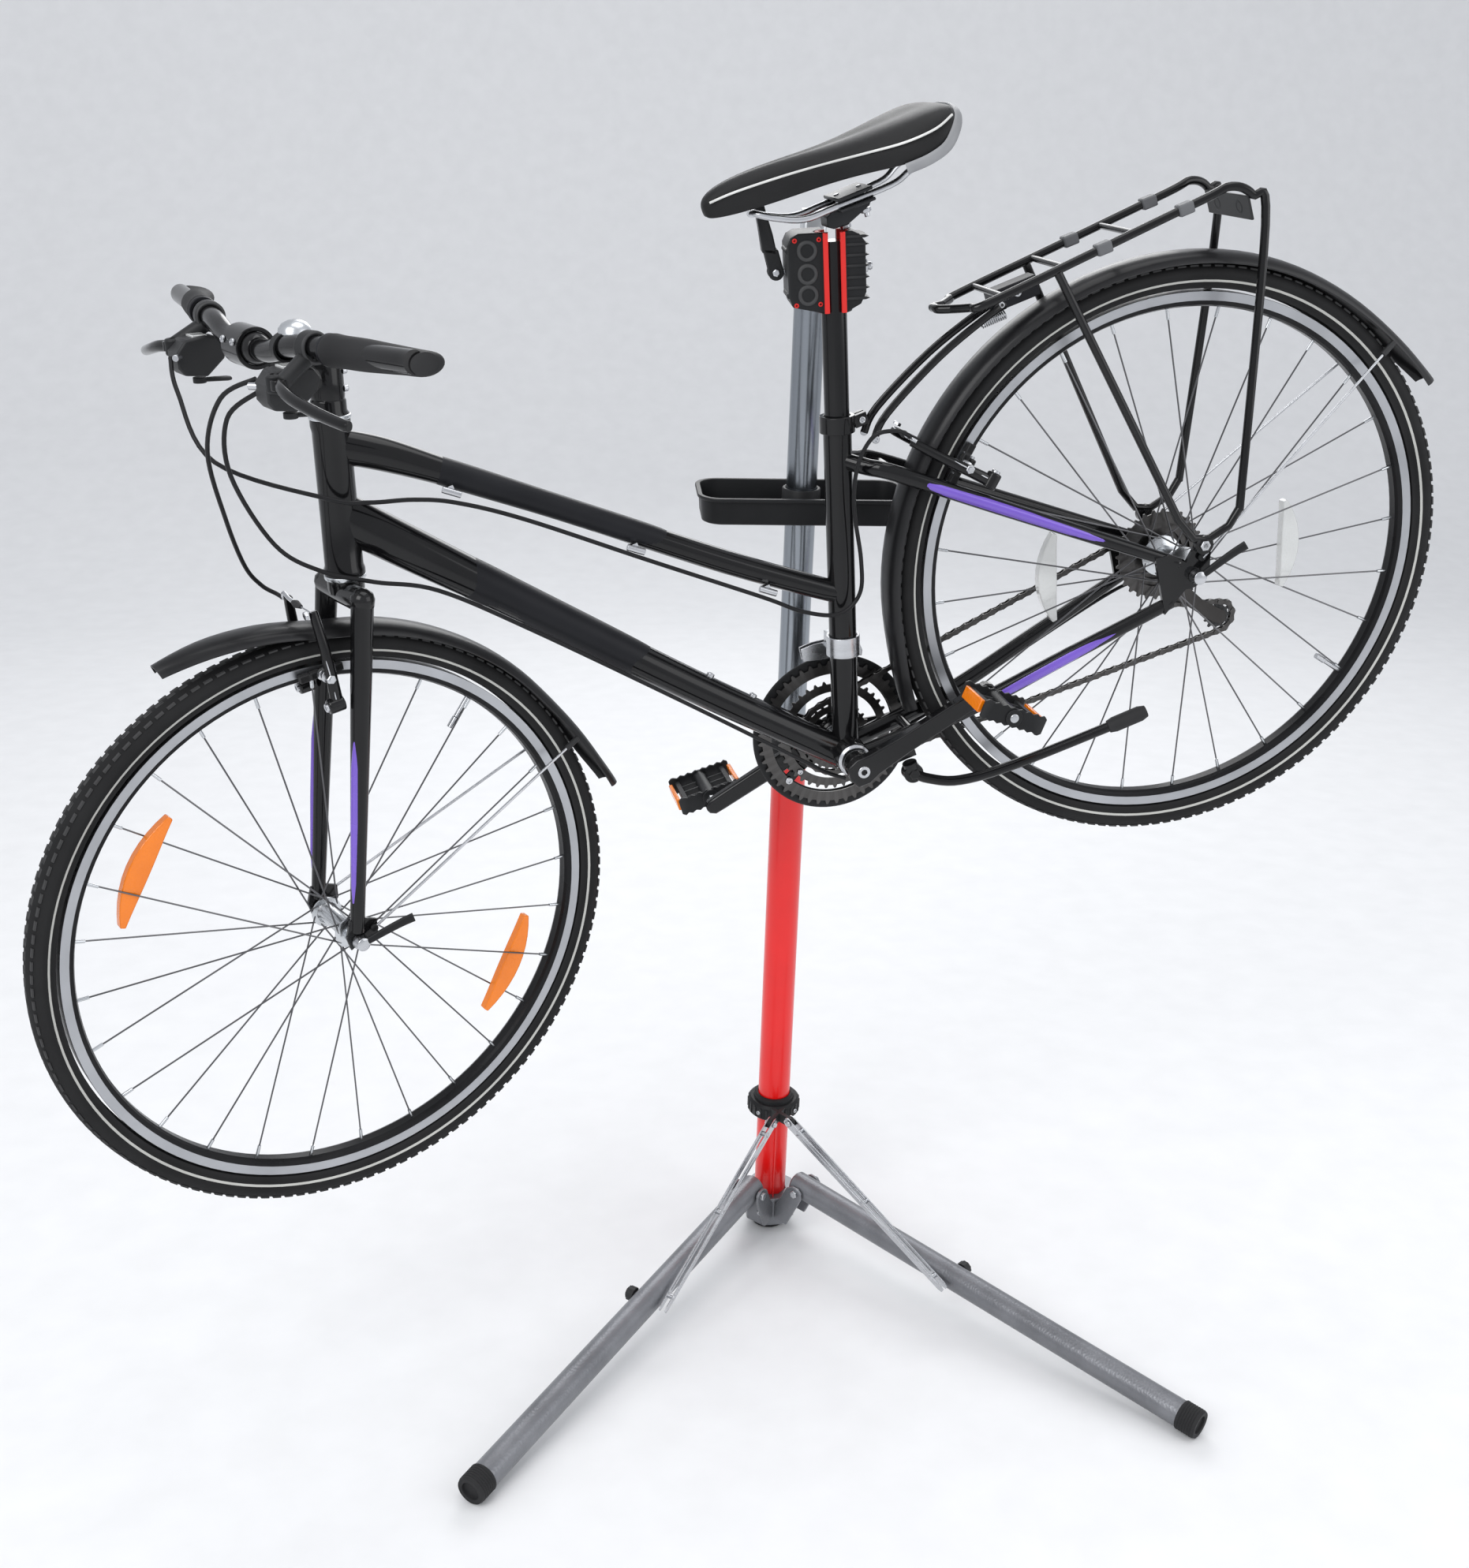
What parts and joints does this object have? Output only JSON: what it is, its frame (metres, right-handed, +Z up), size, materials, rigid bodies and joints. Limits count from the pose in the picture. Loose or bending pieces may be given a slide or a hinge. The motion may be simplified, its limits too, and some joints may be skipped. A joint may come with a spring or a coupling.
{
  "type": "bicycle on repair stand",
  "caption": "City bicycle with mudguards and carrier, held by its seatpost in the padded clamp of a folding repair stand with a tool tray.",
  "frame": {"origin": "centre of the flat sole under the mast's foot, on the floor", "axes": "+Z up; the bicycle points along -X, its left side faces -Y, and the stand's legs reach towards -Y"},
  "size_m": [1.6528, 0.6891, 1.5472],
  "materials": {
    "red_paint": "gloss red enamel",
    "silver_tube": "bright drawn tube",
    "grey_paint": "grey hammered paint",
    "black_gloss": "gloss black paint",
    "black_plastic": "moulded black plastic",
    "rubber": "matt black rubber",
    "tyre": "matt black tyre rubber",
    "alloy": "bright alloy",
    "steel": "bright steel",
    "pad_red": "red rubber",
    "saddle_cover": "black synthetic cover"
  },
  "bodies": {
    "stand_base": {"mast_foot": "rubber", "mast_lower": "red_paint", "leg_hub": "grey_paint", "height_clamp": "black_plastic"},
    "left_leg": {"leg_left": "grey_paint"},
    "right_leg": {"leg_right": "grey_paint"},
    "collar": {"slide_collar": "black_plastic"},
    "left_brace": {"brace_left": "steel"},
    "right_brace": {"brace_right": "steel"},
    "height_lever_arm": {"height_lever": "black_plastic"},
    "upper_mast": {"mast_upper": "silver_tube", "tool_tray": "black_plastic", "head_socket": "silver_tube"},
    "clamp_arm": {"jaw_fixed": "black_plastic", "pad_fixed": "pad_red", "seatpost": "black_gloss", "saddle": "saddle_cover", "saddle_rails": "steel"},
    "clamp_jaw": {"jaw_moving": "black_plastic", "pad_moving": "pad_red", "clamp_screw": "steel"},
    "cam_lever": {"clamp_lever": "black_plastic"},
    "bicycle": {"frame": "black_gloss", "seat_collar": "black_gloss", "chain": "steel", "derailleur_rear": "black_plastic", "derailleur_front": "steel", "fender_rear": "black_plastic", "carrier": "black_gloss", "cable_brake_rear": "black_plastic", "cable_shift": "black_plastic"},
    "steering_unit": {"fork": "black_gloss", "stem": "black_gloss", "handlebar": "black_gloss", "grip_left": "rubber", "grip_right": "rubber", "shifter_left": "black_plastic", "shifter_right": "black_plastic", "fender_front": "black_plastic", "cable_brake_front": "black_plastic"},
    "front_wheel": {"wheel_front": "alloy", "tyre_front": "tyre"},
    "rear_wheel": {"wheel_rear": "alloy", "tyre_rear": "tyre"},
    "sprockets": {"cassette": "steel"},
    "crank_unit": {"crankset": "black_gloss", "crank_left": "black_gloss"},
    "left_pedal": {"pedal_left": "black_plastic"},
    "right_pedal": {"pedal_right": "black_plastic"},
    "left_brake_lever": {"lever_left": "black_gloss"},
    "right_brake_lever": {"lever_right": "black_gloss"},
    "left_trigger": {"trigger_left": "black_plastic"},
    "right_trigger": {"trigger_right": "black_plastic"},
    "front_brake_left": {"brake_front_left": "black_plastic"},
    "front_brake_right": {"brake_front_right": "black_plastic"},
    "rear_brake_left": {"brake_rear_left": "black_plastic"},
    "rear_brake_right": {"brake_rear_right": "black_plastic"},
    "prop_stand": {"kickstand": "black_gloss"},
    "front_skewer": {"skewer_front": "black_gloss"},
    "rear_skewer": {"skewer_rear": "black_gloss"}
  },
  "joints": [
    {"name": "leg_left_fold", "type": "hinge", "parent": "stand_base", "child": "left_leg", "pos_m": [-0.04154, -0.05942, 0.08697], "axis": [-0.7771, 0.6267, 0.057], "range_deg": [0, 92]},
    {"name": "collar_slide", "type": "slide", "parent": "stand_base", "child": "collar", "axis": [0, -0.0906, 0.9959], "range_m": [0, 0.4509]},
    {"name": "leg_right_fold", "type": "hinge", "parent": "stand_base", "child": "right_leg", "pos_m": [0.04154, -0.05942, 0.08697], "axis": [-0.7771, -0.6267, -0.057], "range_deg": [0, 92]},
    {"name": "brace_left_turn", "type": "hinge", "parent": "collar", "child": "left_brace", "pos_m": [-0.01776, -0.07666, 0.2059], "axis": [0.7771, -0.6267, -0.057], "range_deg": [0, 63.03]},
    {"name": "brace_right_turn", "type": "hinge", "parent": "collar", "child": "right_brace", "pos_m": [0.01776, -0.07666, 0.2059], "axis": [0.7771, 0.6267, 0.057], "range_deg": [0, 63.03]},
    {"name": "height_lever_swing", "type": "hinge", "parent": "stand_base", "child": "height_lever_arm", "pos_m": [0.013, -0.03289, 0.77521], "axis": [1, 0, 0], "range_deg": [0, 95]},
    {"name": "mast_slide", "type": "slide", "parent": "stand_base", "child": "upper_mast", "axis": [0, -0.0906, 0.9959], "range_m": [-0.08, 0.25]},
    {"name": "clamp_turn", "type": "hinge", "parent": "upper_mast", "child": "clamp_arm", "pos_m": [0, -0.12634, 1.38826], "axis": [0.075, 0.9931, 0.0904], "range_deg": [-15, 75]},
    {"name": "jaw_slide", "type": "slide", "parent": "clamp_arm", "child": "clamp_jaw", "axis": [0.994, -0.0817, 0.0731], "range_m": [0, 0.008]},
    {"name": "clamp_lever_turn", "type": "hinge", "parent": "clamp_arm", "child": "cam_lever", "pos_m": [-0.07238, -0.29026, 1.36851], "axis": [-0.075, -0.9931, -0.0904], "range_deg": [0, 100]},
    {"name": "seatpost_slide", "type": "slide", "parent": "clamp_arm", "child": "bicycle", "axis": [-0.08, -0.0844, 0.9932], "range_m": [-0.025, 0.035]},
    {"name": "steering", "type": "hinge", "parent": "bicycle", "child": "steering_unit", "pos_m": [-0.52931, -0.30756, 0.64772], "axis": [-0.0366, -0.0809, 0.9961], "range_deg": [-67.5, 22.5], "deforming": ["cable_brake_rear", "cable_shift"]},
    {"name": "front_wheel_spin", "type": "hinge", "parent": "steering_unit", "child": "front_wheel", "pos_m": [-0.57368, -0.33035, 0.64424], "axis": [-0.4595, 0.8865, 0.0551], "continuous": true},
    {"name": "rear_wheel_spin", "type": "hinge", "parent": "bicycle", "child": "rear_wheel", "pos_m": [0.42297, -0.25672, 1.03917], "axis": [-0.0849, 0.9934, 0.0775], "continuous": true},
    {"name": "crank_spin", "type": "hinge", "parent": "bicycle", "child": "crank_unit", "pos_m": [0.03, -0.27292, 0.81642], "axis": [-0.0849, 0.9934, 0.0775], "continuous": true},
    {"name": "cassette_spin", "type": "hinge", "parent": "bicycle", "child": "sprockets", "pos_m": [0.42297, -0.25672, 1.03917], "axis": [-0.0849, 0.9934, 0.0775], "continuous": true},
    {"name": "pedal_left_spin", "type": "hinge", "parent": "crank_unit", "child": "left_pedal", "pos_m": [0.17993, -0.34124, 0.90146], "axis": [-0.0849, 0.9934, 0.0775], "continuous": true},
    {"name": "pedal_right_spin", "type": "hinge", "parent": "crank_unit", "child": "right_pedal", "pos_m": [-0.11992, -0.20461, 0.73138], "axis": [-0.0849, 0.9934, 0.0775], "continuous": true},
    {"name": "lever_left_pull", "type": "hinge", "parent": "steering_unit", "child": "left_brake_lever", "pos_m": [-0.58148, -0.53795, 1.26964], "axis": [-0.0366, -0.0809, 0.9961], "range_deg": [0, 20], "stiffness_Nm_per_rad": 1.2, "springref_deg": -2.86},
    {"name": "lever_right_pull", "type": "hinge", "parent": "steering_unit", "child": "right_brake_lever", "pos_m": [-0.71564, -0.2791, 1.28573], "axis": [0.0366, 0.0809, -0.9961], "range_deg": [0, 20], "stiffness_Nm_per_rad": 1.2, "springref_deg": -2.86},
    {"name": "trigger_left_push", "type": "hinge", "parent": "steering_unit", "child": "left_trigger", "pos_m": [-0.57575, -0.50484, 1.2384], "axis": [0.0366, 0.0809, -0.9961], "range_deg": [0, 16], "stiffness_Nm_per_rad": 0.15, "springref_deg": -2.86},
    {"name": "trigger_right_push", "type": "hinge", "parent": "steering_unit", "child": "right_trigger", "pos_m": [-0.68694, -0.29031, 1.25174], "axis": [-0.0366, -0.0809, 0.9961], "range_deg": [0, 16], "stiffness_Nm_per_rad": 0.15, "springref_deg": -2.86},
    {"name": "brake_front_left_swing", "type": "hinge", "parent": "steering_unit", "child": "front_brake_left", "pos_m": [-0.55833, -0.38456, 0.9185], "axis": [-0.8736, -0.4398, -0.2084], "range_deg": [0, 2.5]},
    {"name": "brake_rear_left_swing", "type": "hinge", "parent": "bicycle", "child": "rear_brake_left", "pos_m": [0.17437, -0.32662, 1.14654], "axis": [-0.4375, 0.0327, -0.8986], "range_deg": [0, 2.5]},
    {"name": "brake_front_right_swing", "type": "hinge", "parent": "steering_unit", "child": "front_brake_right", "pos_m": [-0.59509, -0.31364, 0.92291], "axis": [0.8736, 0.4398, 0.2084], "range_deg": [0, 2.5]},
    {"name": "brake_rear_right_swing", "type": "hinge", "parent": "bicycle", "child": "rear_brake_right", "pos_m": [0.16758, -0.24715, 1.15274], "axis": [0.4375, -0.0327, 0.8986], "range_deg": [0, 2.5]},
    {"name": "kickstand_swing", "type": "hinge", "parent": "bicycle", "child": "prop_stand", "pos_m": [0.10754, -0.30476, 0.79328], "axis": [-0.0849, 0.9934, 0.0775], "range_deg": [0, 80]},
    {"name": "skewer_front_turn", "type": "hinge", "parent": "steering_unit", "child": "front_skewer", "pos_m": [-0.57368, -0.33035, 0.64424], "axis": [-0.4595, 0.8865, 0.0551], "range_deg": [-20, 90]},
    {"name": "skewer_rear_turn", "type": "hinge", "parent": "bicycle", "child": "rear_skewer", "pos_m": [0.42297, -0.25672, 1.03917], "axis": [-0.0849, 0.9934, 0.0775], "range_deg": [-20, 90]}
  ],
  "couplings": [
    {"joint": "leg_right_fold", "follows": "leg_left_fold", "ratio": 1},
    {"joint": "collar_slide", "follows": "leg_left_fold", "m_per_rad": 0.2805},
    {"joint": "brace_left_turn", "follows": "leg_left_fold", "ratio": 0.684},
    {"joint": "brace_right_turn", "follows": "leg_left_fold", "ratio": 0.684},
    {"joint": "clamp_lever_turn", "follows": "jaw_slide", "rad_per_m": 217.4},
    {"joint": "cassette_spin", "follows": "crank_spin", "ratio": 1.6},
    {"joint": "brake_front_left_swing", "follows": "lever_left_pull", "ratio": 0.12},
    {"joint": "brake_rear_left_swing", "follows": "lever_right_pull", "ratio": 0.12},
    {"joint": "brake_front_right_swing", "follows": "lever_left_pull", "ratio": 0.12},
    {"joint": "brake_rear_right_swing", "follows": "lever_right_pull", "ratio": 0.12}
  ]
}
